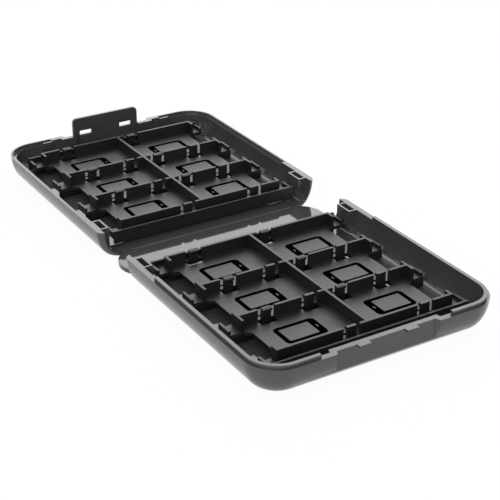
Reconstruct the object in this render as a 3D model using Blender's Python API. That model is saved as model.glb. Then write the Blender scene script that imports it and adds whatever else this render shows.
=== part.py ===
"""Folding plastic case for twelve small game cards, lying open and flat with its inside up.

Metres, +Z up. X runs along the hinges and Y from the front half to the rear half. The origin is
on the ground under the middle of the spine. A half is modelled with Y as the distance from the
middle of the spine, and the front half is turned round to its place.
"""

import math

import bmesh
import bpy

MM = 0.001

# Case
CASE_WIDTH = 91.6 * MM
FAR_EDGE = 100.3 * MM
RIM_HEIGHT = 10.4 * MM
SIDE_REACH = 6.3 * MM
CORNER_RADIUS = 11.7 * MM
WALL = 2.1 * MM
FLOOR = 1.7 * MM
PARTING_GAP = 0.2 * MM
GROOVE = 0.3 * MM
WALL_SETBACK = 0.8 * MM
WALL_END_ROUND = 2.6 * MM
SPINE_LENGTH = 85.0 * MM
SPINE_END_EASE = 1.2 * MM

# Lip round the rim
PLAIN_RIM = 20.8 * MM
PLAIN_FAR_RIM = 50.0 * MM
LIP = 0.7 * MM
LIP_PLAY = 0.1 * MM
TONGUE_HEIGHT = 1.15 * MM
REBATE_PLAY = 0.15 * MM

# Sockets beside the hinge
SOCKET_LENGTH = 7.65 * MM
SOCKET_WIDTH = 3.3 * MM
SOCKET_WALL = 0.7 * MM
SOCKET_SETBACK = 3.4 * MM

# Latch
RECESS_WIDTH = 37.4 * MM
RECESS_DEPTH = 1.8 * MM
RECESS_SLANT = 1.0 * MM
RECESS_WALL = 1.9 * MM
LATCH_WIDTH = 29.4 * MM
LATCH_THICKNESS = 1.3 * MM
LATCH_REACH = 6.8 * MM
LATCH_CORNER = 2.0 * MM
LATCH_PLAY = 0.3 * MM
LATCH_OVERLAP = 0.4 * MM
LATCH_FOOT = 5.1 * MM
LUG_SPACING = 18.2 * MM
LUG_WIDTH = 4.45 * MM
LUG_HEIGHT = 0.8 * MM
LUG_LEAD = 0.3 * MM
SLOT_SIDE_PLAY = 0.5 * MM
SLOT_PLAY = 0.15 * MM
SLOT_DROP = 0.6 * MM
CATCH_WIDTH = 4.3 * MM
CATCH_SPACING = 53.5 * MM
CATCH_HEIGHT = 3.2 * MM
CATCH_DEPTH = 0.8 * MM
CATCH_DROP = 0.3 * MM

# Cards and their cells
CARD_LENGTH = 31.0 * MM
CARD_WIDTH = 21.0 * MM
CARD_THICKNESS = 3.3 * MM
END_PLAY = 0.775 * MM
SIDE_PLAY = 0.885 * MM
ROWS = 3

# Tray
TRAY_WALL = 1.0 * MM
TRAY_FLOOR = 1.3 * MM
TRAY_LIFT = 2.54 * MM
TRAY_REST = 0.3 * MM
WALL_OVER_CARD = 1.0 * MM
THIN_WALL = 0.9 * MM
LOW_WALL_HEIGHT = 1.3 * MM
LOW_WALL_FORWARD = 2.9 * MM
LOW_WALL_REARWARD = 3.5 * MM
LEDGE = 3.5 * MM
SKIRT_REACH = 3.1 * MM
SKIRT_RISE = 1.95 * MM
SKIRT_HEIGHT = 4.85 * MM
PLATE_FORWARD = 3.7 * MM
PLATE_REARWARD = 2.8 * MM
NOTCH_SETBACK = 0.2 * MM
NOTCH_DEPTH = 2.5 * MM
NOTCH_SLANT = 1.6 * MM
WEB_LENGTH = 9.5 * MM
FRONT_TRAY_SETBACK = 7.475 * MM
REAR_TRAY_SETBACK = 11.375 * MM
TRAY_OFFSET = 0.35 * MM

# Clip fingers in the tray's row walls
FINGER_WIDTH = 3.5 * MM
FINGER_SLOT = 1.5 * MM
HOLE_AHEAD = 2.5 * MM
HOLE_BEHIND = 1.0 * MM
HOLE_SETBACK = 1.7 * MM
INNER_FINGER = 6.1 * MM
OUTER_FINGER = 22.75 * MM
HOOK_REACH = 0.7 * MM
HOOK_HEIGHT = 1.65 * MM
HOOK_LEAD = 0.35 * MM

# Looks and roundness
SHELL_COLOUR = (0.036, 0.036, 0.037, 1.0)
TRAY_COLOUR = (0.012, 0.012, 0.012, 1.0)
SHELL_ROUGHNESS = 0.12
TRAY_ROUGHNESS = 0.45
ARC_STEPS = 8
PROFILE_STEPS = 10
PAST = 3.0 * MM

# Places that follow from the sizes above
HALF_WIDTH = CASE_WIDTH / 2
HINGE_Z = FLOOR
HINGE_Y = RIM_HEIGHT - HINGE_Z + PARTING_GAP / 2
SPINE_EDGE = HINGE_Y - GROOVE / 2
SPINE_END_ROUND = HINGE_Y + SPINE_END_EASE
FLOOR_EDGE = HINGE_Y + GROOVE / 2
WALL_EDGE = HINGE_Y + WALL_SETBACK
LIP_START = WALL_EDGE + PLAIN_RIM
RECESS_FACE = FAR_EDGE - RECESS_DEPTH
LATCH_FACE = RECESS_FACE + LATCH_PLAY
LATCH_BACK = LATCH_FACE + LATCH_THICKNESS
LATCH_BOTTOM = RIM_HEIGHT - LATCH_FOOT
LATCH_TOP = RIM_HEIGHT + LATCH_REACH
TRAY_UNDERSIDE = FLOOR + TRAY_LIFT
CELL_FLOOR = TRAY_UNDERSIDE + TRAY_FLOOR
TRAY_TOP = CELL_FLOOR + CARD_THICKNESS + WALL_OVER_CARD
LOW_TOP = CELL_FLOOR + LOW_WALL_HEIGHT
SKIRT_TOP = CELL_FLOOR + SKIRT_RISE
TRAY_FOOT = FLOOR + TRAY_REST
INSIDE_FLOOR = TRAY_UNDERSIDE + TRAY_FLOOR / 2
ROW_PITCH = CARD_WIDTH + 2 * SIDE_PLAY + TRAY_WALL
PLATE_X = TRAY_WALL / 2 + CARD_LENGTH + 2 * END_PLAY + THIN_WALL / 2
LEDGE_X = PLATE_X + THIN_WALL + LEDGE
TRAY_EDGE = LEDGE_X + THIN_WALL / 2
NOTCH_X = PLATE_X - NOTCH_DEPTH
NOTCH_FORWARD = PLATE_FORWARD - NOTCH_SETBACK
NOTCH_REARWARD = PLATE_REARWARD - NOTCH_SETBACK
ROW_PLACES = [-row * ROW_PITCH for row in range(ROWS + 1)]
REAR_ROW = ROW_PLACES[0]
FRONT_ROW = ROW_PLACES[-1]


def mesh_object(name, mesh):
    piece = bpy.data.objects.new(name, mesh)
    bpy.context.scene.collection.objects.link(piece)
    return piece


def loft(name, rings):
    """A closed solid through rings of (points, height), lowest first, each counter-clockwise."""
    shape = bmesh.new()
    loops = [[shape.verts.new((x, y, z)) for x, y in points] for points, z in rings]
    for lower, upper in zip(loops, loops[1:]):
        for i in range(len(lower)):
            j = (i + 1) % len(lower)
            shape.faces.new((lower[i], lower[j], upper[j], upper[i]))
    shape.faces.new(loops[0][::-1])
    shape.faces.new(loops[-1])
    bmesh.ops.remove_doubles(shape, verts=shape.verts, dist=0.001 * MM)
    mesh = bpy.data.meshes.new(name)
    shape.to_mesh(mesh)
    shape.free()
    return mesh_object(name, mesh)


def plate(name, points, low, high):
    """An outline given counter-clockwise, extruded from one height to another."""
    return loft(name, [(points, low), (points, high)])


def box(name, x, y, z):
    """A box between two (low, high) pairs in plan and one in height."""
    return plate(name, [(x[0], y[0]), (x[1], y[0]), (x[1], y[1]), (x[0], y[1])], *z)


def bar(name, x, profile):
    """A (y, z) outline, counter-clockwise seen from +X, extruded between two places along X."""
    piece = plate(name, profile, *x)
    for vertex in piece.data.vertices:
        y, z, along = vertex.co
        vertex.co = (along, y, z)
    return piece


def combine(base, operation, pieces):
    """Unites the pieces with base, or cuts them from it, and removes them."""
    group = bpy.data.collections.new(operation)
    for piece in pieces:
        group.objects.link(piece)
    modifier = base.modifiers.new(operation, "BOOLEAN")
    modifier.operation = operation
    modifier.solver = "EXACT"
    modifier.operand_type = "COLLECTION"
    modifier.collection = group
    bpy.context.view_layer.update()
    graph = bpy.context.evaluated_depsgraph_get()
    mesh = bpy.data.meshes.new_from_object(base.evaluated_get(graph))
    base.modifiers.clear()
    base.data = mesh
    for piece in pieces:
        bpy.data.objects.remove(piece)
    bpy.data.collections.remove(group)
    return base


def united(base, *pieces):
    return combine(base, "UNION", pieces)


def cut(base, *pieces):
    return combine(base, "DIFFERENCE", pieces)


def arc(centre, radius, start, end, steps=ARC_STEPS):
    """Points along an arc, with its angles in degrees."""
    turns = [math.radians(start + (end - start) * i / steps) for i in range(steps + 1)]
    return [(centre[0] + radius * math.cos(t), centre[1] + radius * math.sin(t)) for t in turns]


def outline(half_width, near, far, near_radius, far_radius):
    """A rectangle in plan with its corners rounded, counter-clockwise from the near right one."""
    near_x, near_y = half_width - near_radius, near + near_radius
    far_x, far_y = half_width - far_radius, far - far_radius
    return (
        arc((near_x, near_y), near_radius, -90, 0)
        + arc((far_x, far_y), far_radius, 0, 90)
        + arc((-far_x, far_y), far_radius, 90, 180)
        + arc((-near_x, near_y), near_radius, 180, 270)
    )


def rim_outline(inset, near, near_radius=0.0):
    """The case's outline moved inwards by inset."""
    return outline(HALF_WIDTH - inset, near, FAR_EDGE - inset, near_radius, CORNER_RADIUS - inset)


def profile(wall, floor):
    """(inset, height) down the quarter ellipse of a side, from the floor up to the rim."""
    turns = [math.pi / 2 * (1 - i / PROFILE_STEPS) for i in range(PROFILE_STEPS + 1)]
    reach, depth = SIDE_REACH - wall, RIM_HEIGHT - floor
    return [(wall + reach * (1 - math.cos(t)), RIM_HEIGHT - depth * math.sin(t)) for t in turns]


def spine_half_width(y):
    """Half the spine's length at a distance from its middle, where its ends are arcs."""
    return SPINE_LENGTH / 2 - SPINE_END_ROUND + math.sqrt(SPINE_END_ROUND**2 - y**2)


def outside(name):
    """The solid inside a half's outer surface: round sides, and a floor strip up to the hinge."""
    rings = [(rim_outline(inset, WALL_EDGE, WALL_END_ROUND), z) for inset, z in profile(0, 0)]
    half = spine_half_width(HINGE_Y)
    strip = box("strip", (-half, half), (FLOOR_EDGE, WALL_EDGE + WALL_END_ROUND), (0, FLOOR))
    return united(loft(name, rings), strip)


def cavity(name):
    """The room inside a half, open above and towards the hinge."""
    near = FLOOR_EDGE - PAST
    rings = [(rim_outline(inset, near), z) for inset, z in profile(WALL, FLOOR)]
    rings.append((rim_outline(WALL, near), RIM_HEIGHT + PAST))
    return loft(name, rings)


def socket(side):
    """A square tube that stands in the corner between a side wall and the hinge."""
    outer_x = HALF_WIDTH - WALL
    inner_x = outer_x - SOCKET_WIDTH
    y = (WALL_EDGE + SOCKET_SETBACK, WALL_EDGE + SOCKET_SETBACK + SOCKET_LENGTH)
    z = (FLOOR / 2, RIM_HEIGHT + 2 * PAST)
    hole_x = sorted((side * (inner_x + SOCKET_WALL), side * (outer_x - SOCKET_WALL / 2)))
    tube = box("socket", sorted((side * inner_x, side * (outer_x + WALL / 2))), y, z)
    hole = box("hole", hole_x, (y[0] + SOCKET_WALL, y[1] - SOCKET_WALL), (0, z[1] + PAST))
    return cut(tube, hole)


def jog():
    """The block by which the far wall steps inwards behind the latch recess."""
    half = RECESS_WIDTH / 2 + RECESS_WALL
    points = [
        (-half, RECESS_FACE - RECESS_WALL),
        (half, RECESS_FACE - RECESS_WALL),
        (half + RECESS_SLANT, FAR_EDGE),
        (-half - RECESS_SLANT, FAR_EDGE),
    ]
    return plate("jog", points, FLOOR / 2, RIM_HEIGHT + 2 * PAST)


def lug(x):
    """A catch for one latch slot, flush with the rim above and with the outer surface in front."""
    under = RIM_HEIGHT - LUG_HEIGHT
    above = RIM_HEIGHT + 2 * PAST
    points = [
        (RECESS_FACE - PAST, under),
        (FAR_EDGE, under),
        (FAR_EDGE, RIM_HEIGHT - LUG_LEAD),
        (FAR_EDGE - LUG_LEAD, RIM_HEIGHT),
        (FAR_EDGE - LUG_LEAD, above),
        (RECESS_FACE - PAST, above),
    ]
    return bar("lug", (x - LUG_WIDTH / 2, x + LUG_WIDTH / 2), points)


def recess():
    """The room in front of the far wall for the latch. Its ends slant."""
    half = RECESS_WIDTH / 2
    wide = half + RECESS_SLANT * (1 + PAST / RECESS_DEPTH)
    back = FAR_EDGE + PAST
    points = [(-half, RECESS_FACE), (half, RECESS_FACE), (wide, back), (-wide, back)]
    return plate("recess", points, -PAST, RIM_HEIGHT + PAST)


def lip_band(name, inset, low, high):
    """A slab inside the rim, moved inwards by inset, without the plain stretch at the latch."""
    band = plate(name, rim_outline(inset, LIP_START), low, high)
    plain = PLAIN_FAR_RIM / 2
    middle = (FAR_EDGE - CORNER_RADIUS, FAR_EDGE + PAST)
    return cut(band, box("plain", (-plain, plain), middle, (low - PAST, high + PAST)))


def catch(x):
    """A block on the inside of the far wall."""
    top = RIM_HEIGHT - CATCH_DROP
    y = (FAR_EDGE - WALL - CATCH_DEPTH, FAR_EDGE - WALL / 2)
    return box("catch", (x - CATCH_WIDTH / 2, x + CATCH_WIDTH / 2), y, (top - CATCH_HEIGHT, top))


def shell(name, body, room, cutters):
    """A half's shell, as a mesh with its origin on the hinge."""
    piece = cut(body, room, *cutters)
    piece.name = name
    for vertex in piece.data.vertices:
        vertex.co.y -= HINGE_Y
        vertex.co.z -= HINGE_Z
    return piece


def front_shell():
    tongue = lip_band("tongue", LIP + LIP_PLAY, RIM_HEIGHT - WALL, RIM_HEIGHT + TONGUE_HEIGHT)
    body = united(outside("front"), tongue)
    room = cut(cavity("room"), socket(-1), socket(1), jog())
    lugs = [lug(side * LUG_SPACING / 2) for side in (-1, 1)]
    return shell("front_shell", body, room, [cut(recess(), *lugs)])


def rear_shell():
    catches = [catch(side * CATCH_SPACING / 2) for side in (-1, 1)]
    room = cut(cavity("room"), socket(-1), socket(1), jog(), *catches)
    depth = TONGUE_HEIGHT + REBATE_PLAY
    rebate = lip_band("rebate", LIP, RIM_HEIGHT - depth, RIM_HEIGHT + PAST)
    inside = plate("inside", rim_outline(WALL + LIP_PLAY, 0), 0, RIM_HEIGHT + 2 * PAST)
    opening = LATCH_WIDTH / 2 - LATCH_OVERLAP
    window = box(
        "window",
        (-opening, opening),
        (RECESS_FACE - RECESS_WALL - PAST, FAR_EDGE + PAST),
        (LATCH_BOTTOM + LATCH_OVERLAP, RIM_HEIGHT + PAST),
    )
    return shell("rear_shell", outside("rear"), room, [cut(rebate, inside), recess(), window])


def spine_panel():
    """The strip between the hinges, with round ends."""
    turn = math.degrees(math.asin(SPINE_EDGE / SPINE_END_ROUND))
    centre = SPINE_LENGTH / 2 - SPINE_END_ROUND
    points = arc((centre, 0), SPINE_END_ROUND, -turn, turn)
    points += arc((-centre, 0), SPINE_END_ROUND, 180 - turn, 180 + turn)
    return plate("spine_panel", points, 0, FLOOR)


def latch_flap():
    """A plate with two slots, whose foot follows the outer round down to a thin hinge."""
    foot = [(LATCH_FACE, LATCH_BOTTOM)]
    for i in range(PROFILE_STEPS + 1):
        z = LATCH_BOTTOM + LATCH_FOOT * i / PROFILE_STEPS
        inset = SIDE_REACH * (1 - math.sqrt(1 - (1 - z / RIM_HEIGHT) ** 2))
        foot.append((min(FAR_EDGE - inset, LATCH_BACK), z))
    half = LATCH_WIDTH / 2
    points = foot + [(LATCH_BACK, LATCH_TOP), (LATCH_FACE, LATCH_TOP)]
    flap = bar("latch_flap", (-half, half), points)
    slot_half = LUG_WIDTH / 2 + SLOT_SIDE_PLAY
    y = (LATCH_FACE - PAST, LATCH_BACK + PAST)
    z = (RIM_HEIGHT - SLOT_DROP, RIM_HEIGHT + PARTING_GAP + LUG_HEIGHT + SLOT_PLAY)
    cutters = []
    for side in (-1, 1):
        x = side * LUG_SPACING / 2
        cutters.append(box("slot", (x - slot_half, x + slot_half), y, z))
        cutters.append(corner_cutter(side, half, y))
    flap = cut(flap, *cutters)
    for vertex in flap.data.vertices:
        vertex.co.y -= LATCH_FACE
        vertex.co.z -= LATCH_BOTTOM
    return flap


def corner_cutter(side, half, y):
    """What the round of an upper corner of the latch leaves off."""
    centre = (half - LATCH_CORNER, LATCH_TOP - LATCH_CORNER)
    far = (half + PAST, LATCH_TOP + PAST)
    points = arc(centre, LATCH_CORNER, 90, 0) + [(far[0], centre[1]), far, (centre[0], far[1])]
    piece = plate("corner", points, *y)
    for vertex in piece.data.vertices:
        x, z, along = vertex.co
        vertex.co = (side * x, along, z)
    if side > 0:
        piece.data.flip_normals()
    return piece


def tray_floor():
    """The tray's floor, with a finger notch beside every cell."""
    side = [(TRAY_EDGE, FRONT_ROW - SKIRT_REACH)]
    for ahead, behind in zip(ROW_PLACES[:0:-1], ROW_PLACES[-2::-1]):
        low, high = ahead + NOTCH_REARWARD, behind - NOTCH_FORWARD
        side += [(TRAY_EDGE, low), (NOTCH_X, low), (NOTCH_X, high - NOTCH_SLANT)]
        side += [(PLATE_X, high), (TRAY_EDGE, high)]
    side.append((TRAY_EDGE, REAR_ROW + SKIRT_REACH))
    mirrored = [(-x, y) for x, y in reversed(side)]
    return plate("tray", side + mirrored, TRAY_UNDERSIDE, CELL_FLOOR)


def wall_at(name, x, y, z):
    """A thin wall along Y, given its middle in X."""
    return box(name, (x - THIN_WALL / 2, x + THIN_WALL / 2), y, z)


def row_walls():
    """The high walls: one across each row, one between the columns, and the plates at the ends."""
    half = TRAY_WALL / 2
    high = (INSIDE_FLOOR, TRAY_TOP)
    walls = [box("divider", (-half, half), (FRONT_ROW, REAR_ROW), high)]
    for y in ROW_PLACES:
        walls.append(box("row", (-PLATE_X, PLATE_X), (y - half, y + half), high))
        forward = half if y == FRONT_ROW else PLATE_FORWARD
        rearward = half if y == REAR_ROW else PLATE_REARWARD
        for x in (-PLATE_X, PLATE_X):
            walls.append(wall_at("end", x, (y - forward, y + rearward), high))
    return walls


def low_walls():
    """The low walls: a skirt in front and behind, and one outside the ledge of each end plate."""
    low = (TRAY_UNDERSIDE, LOW_TOP)
    half = THIN_WALL / 2
    walls = []
    skirt = (SKIRT_TOP - SKIRT_HEIGHT, SKIRT_TOP)
    for y in (FRONT_ROW - SKIRT_REACH, REAR_ROW + SKIRT_REACH):
        walls.append(box("skirt", (-TRAY_EDGE, TRAY_EDGE), (y - half, y + half), skirt))
    for y in ROW_PLACES:
        forward = SKIRT_REACH if y == FRONT_ROW else LOW_WALL_FORWARD
        rearward = SKIRT_REACH if y == REAR_ROW else LOW_WALL_REARWARD
        for x in (-LEDGE_X, LEDGE_X):
            walls.append(wall_at("low", x, (y - forward, y + rearward), low))
    return walls


def legs():
    """What stands under the tray's floor: a leg below each end plate, and a web across its front."""
    below = (TRAY_FOOT, INSIDE_FLOOR)
    pieces = []
    for y in ROW_PLACES[:-1]:
        front = y - PLATE_FORWARD
        outer = PLATE_X + THIN_WALL / 2 if y == REAR_ROW else TRAY_EDGE
        for side in (-1, 1):
            pieces.append(wall_at("leg", side * PLATE_X, (front, y + TRAY_WALL / 2), below))
            x = sorted((side * (TRAY_EDGE - WEB_LENGTH), side * outer))
            pieces.append(box("web", x, (front, front + THIN_WALL), below))
    return pieces


def finger_places():
    """(x, y, direction) of every clip finger. Direction is that of its hook along Y."""
    places = []
    for y in ROW_PLACES:
        if y != FRONT_ROW:
            places += [(-OUTER_FINGER, y, -1), (INNER_FINGER, y, -1)]
        if y != REAR_ROW:
            places += [(-INNER_FINGER, y, 1), (OUTER_FINGER, y, 1)]
    return places


def finger_cutters(x, y):
    """The slots beside a finger, and the holes in the floor ahead of it and behind it."""
    half = FINGER_WIDTH / 2
    front, back = y - TRAY_WALL / 2, y + TRAY_WALL / 2
    ahead = front if y == FRONT_ROW else front - HOLE_AHEAD
    through = (TRAY_FOOT, TRAY_TOP + PAST)
    cutters = []
    for side in (-1, 1):
        slot = sorted((x + side * half, x + side * (half + FINGER_SLOT)))
        cutters.append(box("slot", slot, (ahead, back), through))
    span = (x - half - FINGER_SLOT / 2, x + half + FINGER_SLOT / 2)
    if y != FRONT_ROW:
        cutters.append(box("hole", span, (ahead, front), through))
    if y != REAR_ROW:
        behind = back + HOLE_SETBACK
        cutters.append(box("hole", span, (behind, behind + HOLE_BEHIND), through))
    return cutters


def finger_hook(x, y, direction):
    """The nose of a finger, with a slant above to let a card in and one below to let it out."""
    face = TRAY_WALL / 2
    low = TRAY_TOP - HOOK_HEIGHT
    points = [
        (0, low),
        (face, low),
        (face + HOOK_REACH, low + HOOK_REACH),
        (face + HOOK_REACH, TRAY_TOP - HOOK_LEAD),
        (face, TRAY_TOP),
        (0, TRAY_TOP),
    ]
    points = [(y + direction * depth, z) for depth, z in points]
    return bar("hook", (x - FINGER_WIDTH / 2, x + FINGER_WIDTH / 2), points[::direction])


def tray_mesh():
    """The insert with six card cells, whose origin is at its rear wall on the ground."""
    tray = united(tray_floor(), *row_walls(), *low_walls(), *legs())
    places = finger_places()
    tray = cut(tray, *[cutter for x, y, _ in places for cutter in finger_cutters(x, y)])
    tray = united(tray, *[finger_hook(*place) for place in places])
    mesh = tray.data
    bpy.data.objects.remove(tray)
    return mesh


def plastic(name, colour, roughness):
    material = bpy.data.materials.new(name)
    material.use_nodes = True
    shader = material.node_tree.nodes["Principled BSDF"]
    shader.inputs["Base Color"].default_value = colour
    shader.inputs["Roughness"].default_value = roughness
    shader.inputs["Metallic"].default_value = 0.0
    return material


def finish(piece, material):
    piece.data.materials.clear()
    piece.data.materials.append(material)
    piece.data.shade_smooth()
    piece.data.set_sharp_from_angle(angle=math.radians(30))


def hinge(name, parent, y, z):
    """An empty on a hinge's axis, which carries what turns about it."""
    empty = bpy.data.objects.new(name, None)
    bpy.context.scene.collection.objects.link(empty)
    empty.parent = parent
    empty.location = (0, y, z)
    return empty


def main():
    for old in list(bpy.data.objects):
        bpy.data.objects.remove(old)

    spine = spine_panel()
    front_hinge = hinge("front_hinge", spine, -HINGE_Y, HINGE_Z)
    rear_hinge = hinge("rear_hinge", spine, HINGE_Y, HINGE_Z)

    front = front_shell()
    front.parent = front_hinge
    front.rotation_euler.z = math.pi
    rear = rear_shell()
    rear.parent = rear_hinge

    latch = latch_flap()
    latch.parent = rear_hinge
    latch.location = (0, LATCH_FACE - HINGE_Y, LATCH_BOTTOM - HINGE_Z)

    mesh = tray_mesh()
    front_tray = mesh_object("front_tray", mesh)
    front_tray.parent = front_hinge
    front_tray.location = (TRAY_OFFSET, -FRONT_TRAY_SETBACK, -HINGE_Z)
    rear_tray = mesh_object("rear_tray", mesh)
    rear_tray.parent = rear_hinge
    rear_tray.location = (TRAY_OFFSET, FAR_EDGE - REAR_TRAY_SETBACK - HINGE_Y, -HINGE_Z)

    gloss = plastic("gloss_plastic", SHELL_COLOUR, SHELL_ROUGHNESS)
    satin = plastic("satin_plastic", TRAY_COLOUR, TRAY_ROUGHNESS)
    for piece in (spine, front, rear, latch):
        finish(piece, gloss)
    for piece in (front_tray, rear_tray):
        finish(piece, satin)
    bpy.context.view_layer.update()


main()
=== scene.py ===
import math

import bmesh
import bpy
from mathutils import Matrix, Vector

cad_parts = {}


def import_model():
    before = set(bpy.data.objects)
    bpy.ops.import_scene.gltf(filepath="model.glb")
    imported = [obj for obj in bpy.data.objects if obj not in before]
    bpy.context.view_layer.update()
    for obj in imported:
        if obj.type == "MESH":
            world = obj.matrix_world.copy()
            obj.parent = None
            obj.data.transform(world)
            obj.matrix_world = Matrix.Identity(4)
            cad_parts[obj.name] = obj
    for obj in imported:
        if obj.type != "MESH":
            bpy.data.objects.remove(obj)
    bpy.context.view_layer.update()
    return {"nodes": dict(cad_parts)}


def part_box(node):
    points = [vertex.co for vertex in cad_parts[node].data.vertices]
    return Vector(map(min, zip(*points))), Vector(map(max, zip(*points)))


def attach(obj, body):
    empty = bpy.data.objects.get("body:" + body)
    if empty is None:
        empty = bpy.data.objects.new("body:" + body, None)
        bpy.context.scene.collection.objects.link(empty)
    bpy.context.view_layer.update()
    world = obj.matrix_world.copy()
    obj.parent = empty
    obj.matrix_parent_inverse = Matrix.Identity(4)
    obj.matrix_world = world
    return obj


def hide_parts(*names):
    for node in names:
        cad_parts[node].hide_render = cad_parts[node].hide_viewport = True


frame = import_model()

MM = 0.001

# Camera: its place, the directions of its right and its top, and its lens and sensor in mm
CAMERA_PLACE = (-0.2214, -0.3803, 0.2220)
CAMERA_RIGHT = (0.8540, -0.5203, 0.0012)
CAMERA_UP = (0.2364, 0.3903, 0.8898)
FOCAL_LENGTH = 96.75
SENSOR_WIDTH = 36.0
NEAREST_SEEN = 10 * MM

# The printed marks on the cell floors, placed from each tray's box
MARK_ROWS = 3
ROW_PITCH = 23.77 * MM
CELL_DEPTH = 4.3 * MM
MARK_SETBACK = 15.7 * MM
MARK_SPACING = 35.0 * MM
MARK_SHIFT = 0.15 * MM
INK_LIFT = 0.02 * MM

# One mark: its outline, the widths of its sides and ends, and the slit in its inner end
MARK_LENGTH = 15.5 * MM
MARK_WIDTH = 10.5 * MM
MARK_ROUND = 1.7 * MM
MARK_SIDE = 1.5 * MM
MARK_OUTER_END = 1.7 * MM
MARK_INNER_END = 2.8 * MM
WINDOW_ROUND = MARK_ROUND / 5
SLIT_LENGTH = 1.4 * MM
SLIT_WIDTH = 0.48 * MM
SLIT_ROUND = 0.45 * SLIT_WIDTH
CORNER_STEPS = 6

# How far each piece's edges are rounded
SPINE_ROUNDING = 0.12 * MM
SHELL_ROUNDING = 0.10 * MM
FLAP_ROUNDING = 0.15 * MM
TRAY_ROUNDING = 0.04 * MM
ROUNDING_STEPS = 2

# Edges at a sharper angle than the first are rounded, and flatter ones than the second are merged away
ROUNDED_ANGLE = math.radians(32)
FLAT_ANGLE = math.radians(0.5)
MERGE_DISTANCE = 0.002 * MM

# How strongly large faces pull the shading towards flat
FACE_WEIGHT = 100
FACE_THRESHOLD = 0.0001

# The living hinges' webs: how much of half the gap between spine and shell they fill
WEB_FILL = 0.94
WEB_SIDES = 16

# Grey of each surface, and how far its noise carries it to either side
SHELL_TONE = 0.052
SHELL_TONE_SPREAD = 0.07
TRAY_TONE = 0.0035
TRAY_TONE_SPREAD = 0.2
INK_TONES = (0.0005, 0.002)
FLOOR_TONES = (0.93, 0.95)

# Roughness of each surface, and how far the plastics' noise carries it to either side
SHELL_ROUGH = 0.06
TRAY_ROUGH = 0.48
ROUGH_SPREAD = 0.03
INK_ROUGH = 0.9
PLASTIC_IOR = 1.5

# Noises, each as the scale and the detail
SHELL_WAVES = (60.0, 2.0)
SHELL_WEAR = (900.0, 6.0)
TRAY_GRAIN = (6000.0, 3.0)
TRAY_CLOUDS = (120.0, 3.0)
INK_COVER = (3000.0, 4.0)
FLOOR_CLOUDS = (8.0, 2.0)

# Bumps, each as the strength and the height
SHELL_BUMP = (0.03, 0.2 * MM)
TRAY_BUMP = (0.15, 0.03 * MM)

# The world's light on the object, and its strength where it is seen straight or in a reflection
WORLD_LIGHT = 0.45
WORLD_SEEN = 1.0

# Lamps, all aimed at the origin: place, size and watts
LAMP_TARGET = (0, 0, 0)
BACK_PLACE = (0.75, 1.14, 0.85)
BACK_SIZE = (1.8, 1.2)
BACK_WATTS = 15.0
TOP_PLACE = (0.2, 0.6, 1.5)
TOP_SIZE = (1.6, 1.4)
TOP_WATTS = 6.0
FRONT_PLACE = (-1.1, -1.1, 0.9)
FRONT_SIZE = (1.5, 1.0)
FRONT_WATTS = 18.0

# The floor: half its width, how far it lies under the case, and how much of its light is its own where
# it is seen straight or in a reflection
FLOOR_REACH = 3
FLOOR_DROP = 0.2 * MM
FLOOR_GLOW = 0.95

WHITE = (1, 1, 1, 1)


class Nodes:
    """Short calls for building a node tree."""

    def __init__(self, tree):
        self.tree = tree
        tree.nodes.clear()

    def add(self, kind, inputs=None, **settings):
        """A node with its inputs linked, where they are sockets, or set."""
        node = self.tree.nodes.new(kind)
        for name, value in settings.items():
            setattr(node, name, value)
        for name, value in (inputs or {}).items():
            if isinstance(value, bpy.types.NodeSocket):
                self.tree.links.new(value, node.inputs[name])
            else:
                node.inputs[name].default_value = value
        return node

    def noise(self, scale, detail):
        """A noise that stays with the piece when it moves."""
        place = self.add("ShaderNodeTexCoord").outputs["Object"]
        return self.add("ShaderNodeTexNoise", {"Vector": place, "Scale": scale, "Detail": detail}).outputs[0]

    def spread(self, factor, middle, reach):
        """A value that a noise carries from its middle to either side."""
        ends = {"Value": factor, "To Min": middle - reach, "To Max": middle + reach}
        return self.add("ShaderNodeMapRange", ends).outputs["Result"]

    def tint(self, factor, low, high):
        """A grey between two tones. In this node, inputs 6 and 7 and output 2 are the ones for colours."""
        ends = {0: factor, 6: grey(low), 7: grey(high)}
        return self.add("ShaderNodeMix", ends, data_type="RGBA").outputs[2]

    def bump(self, height, strength, distance):
        """A surface direction that follows a noise."""
        shape = {"Height": height, "Strength": strength, "Distance": distance}
        return self.add("ShaderNodeBump", shape).outputs["Normal"]

    def seen_or_reflected(self):
        """1 where the surface is seen, straight or in a reflection, and 0 where it only gives light."""
        path = self.add("ShaderNodeLightPath")
        rays = {0: path.outputs["Is Camera Ray"], 1: path.outputs["Is Glossy Ray"]}
        return self.add("ShaderNodeMath", rays, operation="MAXIMUM").outputs[0]

    def finish(self, kind, shader):
        """Join a shader to the tree's output."""
        self.add(kind, {"Surface": shader.outputs[0]})


def new_material(name):
    material = bpy.data.materials.new(name)
    material.use_nodes = True
    return material, Nodes(material.node_tree)


def grey(value):
    return (value, value, value, 1)


def shell_gloss():
    """Glossy moulded plastic: faint waves from the mould and fine differences in polish."""
    material, make = new_material("shell_gloss")
    waves = make.noise(*SHELL_WAVES)
    wear = make.noise(*SHELL_WEAR)
    low, high = (1 - SHELL_TONE_SPREAD) * SHELL_TONE, (1 + SHELL_TONE_SPREAD) * SHELL_TONE
    shader = make.add(
        "ShaderNodeBsdfPrincipled",
        {
            "Base Color": make.tint(waves, low, high),
            "Roughness": make.spread(wear, SHELL_ROUGH, ROUGH_SPREAD),
            "Normal": make.bump(waves, *SHELL_BUMP),
            "IOR": PLASTIC_IOR,
        },
    )
    make.finish("ShaderNodeOutputMaterial", shader)
    return material


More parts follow.
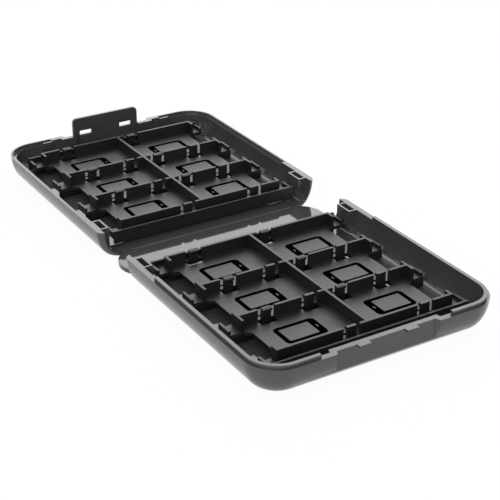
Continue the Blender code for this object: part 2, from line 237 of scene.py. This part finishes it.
def tray_satin():
    """Satin moulded plastic: a fine spark texture and slightly polished patches."""
    material, make = new_material("tray_satin")
    grain = make.noise(*TRAY_GRAIN)
    clouds = make.noise(*TRAY_CLOUDS)
    low, high = (1 - TRAY_TONE_SPREAD) * TRAY_TONE, (1 + TRAY_TONE_SPREAD) * TRAY_TONE
    shader = make.add(
        "ShaderNodeBsdfPrincipled",
        {
            "Base Color": make.tint(clouds, low, high),
            "Roughness": make.spread(clouds, TRAY_ROUGH, ROUGH_SPREAD),
            "Normal": make.bump(grain, *TRAY_BUMP),
            "IOR": PLASTIC_IOR,
        },
    )
    make.finish("ShaderNodeOutputMaterial", shader)
    return material


def mark_ink():
    """Matt black print, slightly uneven in cover."""
    material, make = new_material("mark_ink")
    tint = make.tint(make.noise(*INK_COVER), *INK_TONES)
    shader = make.add(
        "ShaderNodeBsdfPrincipled",
        {"Base Color": tint, "Roughness": INK_ROUGH, "Specular IOR Level": 0.0},
    )
    make.finish("ShaderNodeOutputMaterial", shader)
    return material


def floor_white():
    """A floor that is seen as white with a faint shadow, and still throws light on the case."""
    material, make = new_material("floor_white")
    lit = make.add("ShaderNodeBsdfDiffuse", {"Color": make.tint(make.noise(*FLOOR_CLOUDS), *FLOOR_TONES)})
    plain = make.add("ShaderNodeEmission", {"Color": WHITE, "Strength": 1.0})
    glow = {0: make.seen_or_reflected(), 1: FLOOR_GLOW}
    share = make.add("ShaderNodeMath", glow, operation="MULTIPLY").outputs[0]
    mix = make.add("ShaderNodeMixShader", {0: share, 1: lit.outputs[0], 2: plain.outputs[0]})
    make.finish("ShaderNodeOutputMaterial", mix)
    return material


def add_mesh(name, mesh):
    piece = bpy.data.objects.new(name, mesh)
    bpy.context.scene.collection.objects.link(piece)
    return piece


def clean_copy(node):
    """A copy of a CAD node's mesh, with doubled points and the edges across flat faces merged away."""
    mesh = frame["nodes"][node].data.copy()
    shape = bmesh.new()
    shape.from_mesh(mesh)
    bmesh.ops.remove_doubles(shape, verts=shape.verts, dist=MERGE_DISTANCE)
    bmesh.ops.dissolve_limit(shape, angle_limit=FLAT_ANGLE, verts=shape.verts, edges=shape.edges)
    shape.to_mesh(mesh)
    shape.free()
    return mesh


def rounded(node, body, material, width):
    """A copy of a CAD node with its edges rounded, which is shown in the node's place."""
    mesh = clean_copy(node)
    piece = add_mesh(node + "_looks", mesh)
    mesh.materials.clear()
    mesh.materials.append(material)
    mesh.shade_smooth()
    bevel = piece.modifiers.new("rounding", "BEVEL")
    bevel.width = width
    bevel.segments = ROUNDING_STEPS
    bevel.limit_method = "ANGLE"
    bevel.angle_limit = ROUNDED_ANGLE
    weigh = piece.modifiers.new("flat faces stay flat", "WEIGHTED_NORMAL")
    weigh.mode = "FACE_AREA"
    weigh.weight = FACE_WEIGHT
    weigh.thresh = FACE_THRESHOLD
    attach(piece, body)
    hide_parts(node)


def rounded_loop(low, high, radius, z):
    """Points of a rounded rectangle between two corners in plan, counter-clockwise."""
    points = []
    for x, y, turn in (
        (high[0] - radius, low[1] + radius, -90),
        (high[0] - radius, high[1] - radius, 0),
        (low[0] + radius, high[1] - radius, 90),
        (low[0] + radius, low[1] + radius, 180),
    ):
        for i in range(CORNER_STEPS + 1):
            t = math.radians(turn + 90 / CORNER_STEPS * i)
            points.append((x + radius * math.cos(t), y + radius * math.sin(t), z))
    return points


def mark_loops(center, inner, z):
    """Outline, window and slit of a mark: thin long sides, thick ends, the slit in the inner end."""
    x, y = center
    length, width = MARK_LENGTH / 2, MARK_WIDTH / 2
    left_end = MARK_INNER_END if inner < 0 else MARK_OUTER_END
    right_end = MARK_OUTER_END if inner < 0 else MARK_INNER_END
    outline = rounded_loop((x - length, y - width), (x + length, y + width), MARK_ROUND, z)
    low = (x - length + left_end, y - width + MARK_SIDE)
    high = (x + length - right_end, y + width - MARK_SIDE)
    window = rounded_loop(low, high, WINDOW_ROUND, z)
    slit_x = x + inner * (length - MARK_INNER_END / 2)
    low = (slit_x - SLIT_WIDTH / 2, y - SLIT_LENGTH / 2)
    high = (slit_x + SLIT_WIDTH / 2, y + SLIT_LENGTH / 2)
    slit = rounded_loop(low, high, SLIT_ROUND, z + INK_LIFT / 2)
    return outline, window, slit


def card_mark(name, body, center, inner, z, materials):
    """The printed sign of a card, with a slit that shows the tray's plastic."""
    shape = bmesh.new()
    loops = [[shape.verts.new(point) for point in loop] for loop in mark_loops(center, inner, z)]
    outline, window, slit = loops
    for i in range(len(outline)):
        j = (i + 1) % len(outline)
        shape.faces.new((outline[i], outline[j], window[j], window[i]))
    shape.faces.new(slit).material_index = 1
    mesh = bpy.data.meshes.new(name)
    shape.to_mesh(mesh)
    shape.free()
    piece = add_mesh(name, mesh)
    for material in materials:
        mesh.materials.append(material)
    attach(piece, body)


def tray_marks(half, materials):
    """The six marks of one tray, row by row from its rear edge."""
    low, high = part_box(half + "_tray")
    middle = (low.x + high.x) / 2 + MARK_SHIFT
    z = high.z - CELL_DEPTH + INK_LIFT
    for row in range(MARK_ROWS):
        y = high.y - MARK_SETBACK - row * ROW_PITCH
        for side, word in ((-1, "left"), (1, "right")):
            center = (middle + side * MARK_SPACING / 2, y)
            card_mark(f"{half}_mark_{row + 1}_{word}", half + "_half", center, -side, z, materials)


def hinge_web(half, material):
    """A round bead on the hinge's own axis, so it closes the gap to the spine at every angle."""
    spine_low, spine_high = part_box("spine_panel")
    shell_low, shell_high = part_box(half + "_shell")
    side = 1 if shell_high.y > spine_high.y else -1
    edge = shell_low.y if side > 0 else shell_high.y
    radius = WEB_FILL * (side * edge - spine_high.y) / 2
    y = (edge + side * spine_high.y) / 2
    reach = (spine_high.x - spine_low.x - spine_high.y + spine_low.y) / 2
    shape = bmesh.new()
    bmesh.ops.create_cone(
        shape, cap_ends=True, segments=WEB_SIDES, radius1=radius, radius2=radius, depth=2 * reach
    )
    turn = Matrix.Translation((0, y, spine_high.z)) @ Matrix.Rotation(math.radians(90), 4, "Y")
    bmesh.ops.transform(shape, matrix=turn, verts=shape.verts)
    mesh = bpy.data.meshes.new(half + "_hinge_web")
    shape.to_mesh(mesh)
    shape.free()
    piece = add_mesh(half + "_hinge_web", mesh)
    mesh.materials.append(material)
    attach(piece, "spine")


def lamp(name, place, size, watts):
    data = bpy.data.lights.new(name, "AREA")
    data.shape = "RECTANGLE"
    data.size, data.size_y = size
    data.energy = watts
    piece = bpy.data.objects.new(name, data)
    bpy.context.scene.collection.objects.link(piece)
    piece.location = place
    direction = Vector(LAMP_TARGET) - Vector(place)
    piece.rotation_euler = direction.to_track_quat("-Z", "Y").to_euler()


def floor():
    far = FLOOR_REACH
    mesh = bpy.data.meshes.new("floor")
    mesh.from_pydata([(-far, -far, 0), (far, -far, 0), (far, far, 0), (-far, far, 0)], [], [(0, 1, 2, 3)])
    piece = add_mesh("floor", mesh)
    piece.location.z = -FLOOR_DROP
    mesh.materials.append(floor_white())


def world():
    """A world that is seen as white and gives the object a weaker light."""
    studio = bpy.data.worlds.new("studio")
    bpy.context.scene.world = studio
    studio.use_nodes = True
    make = Nodes(studio.node_tree)
    light = make.add("ShaderNodeBackground", {"Color": WHITE, "Strength": WORLD_LIGHT})
    seen = make.add("ShaderNodeBackground", {"Color": WHITE, "Strength": WORLD_SEEN})
    sides = {0: make.seen_or_reflected(), 1: light.outputs[0], 2: seen.outputs[0]}
    make.finish("ShaderNodeOutputWorld", make.add("ShaderNodeMixShader", sides))


def lamps():
    lamp("back_softbox", BACK_PLACE, BACK_SIZE, BACK_WATTS)
    lamp("top_softbox", TOP_PLACE, TOP_SIZE, TOP_WATTS)
    lamp("front_fill", FRONT_PLACE, FRONT_SIZE, FRONT_WATTS)


def camera():
    data = bpy.data.cameras.new("camera")
    data.lens = FOCAL_LENGTH
    data.sensor_width = SENSOR_WIDTH
    data.dof.use_dof = False
    data.clip_start = NEAREST_SEEN
    piece = bpy.data.objects.new("camera", data)
    bpy.context.scene.collection.objects.link(piece)
    right, up = Vector(CAMERA_RIGHT).normalized(), Vector(CAMERA_UP).normalized()
    back = right.cross(up)
    turn = Matrix((right, up, back)).transposed().to_4x4()
    piece.matrix_world = Matrix.Translation(CAMERA_PLACE) @ turn
    bpy.context.scene.camera = piece


def main():
    scene = bpy.context.scene
    scene.view_settings.view_transform = "Standard"
    gloss, satin, ink = shell_gloss(), tray_satin(), mark_ink()
    rounded("spine_panel", "spine", gloss, SPINE_ROUNDING)
    rounded("latch_flap", "latch", gloss, FLAP_ROUNDING)
    for half in ("front", "rear"):
        rounded(half + "_shell", half + "_half", gloss, SHELL_ROUNDING)
        rounded(half + "_tray", half + "_half", satin, TRAY_ROUNDING)
        tray_marks(half, (ink, satin))
        hinge_web(half, gloss)
    floor()
    world()
    lamps()
    camera()


main()
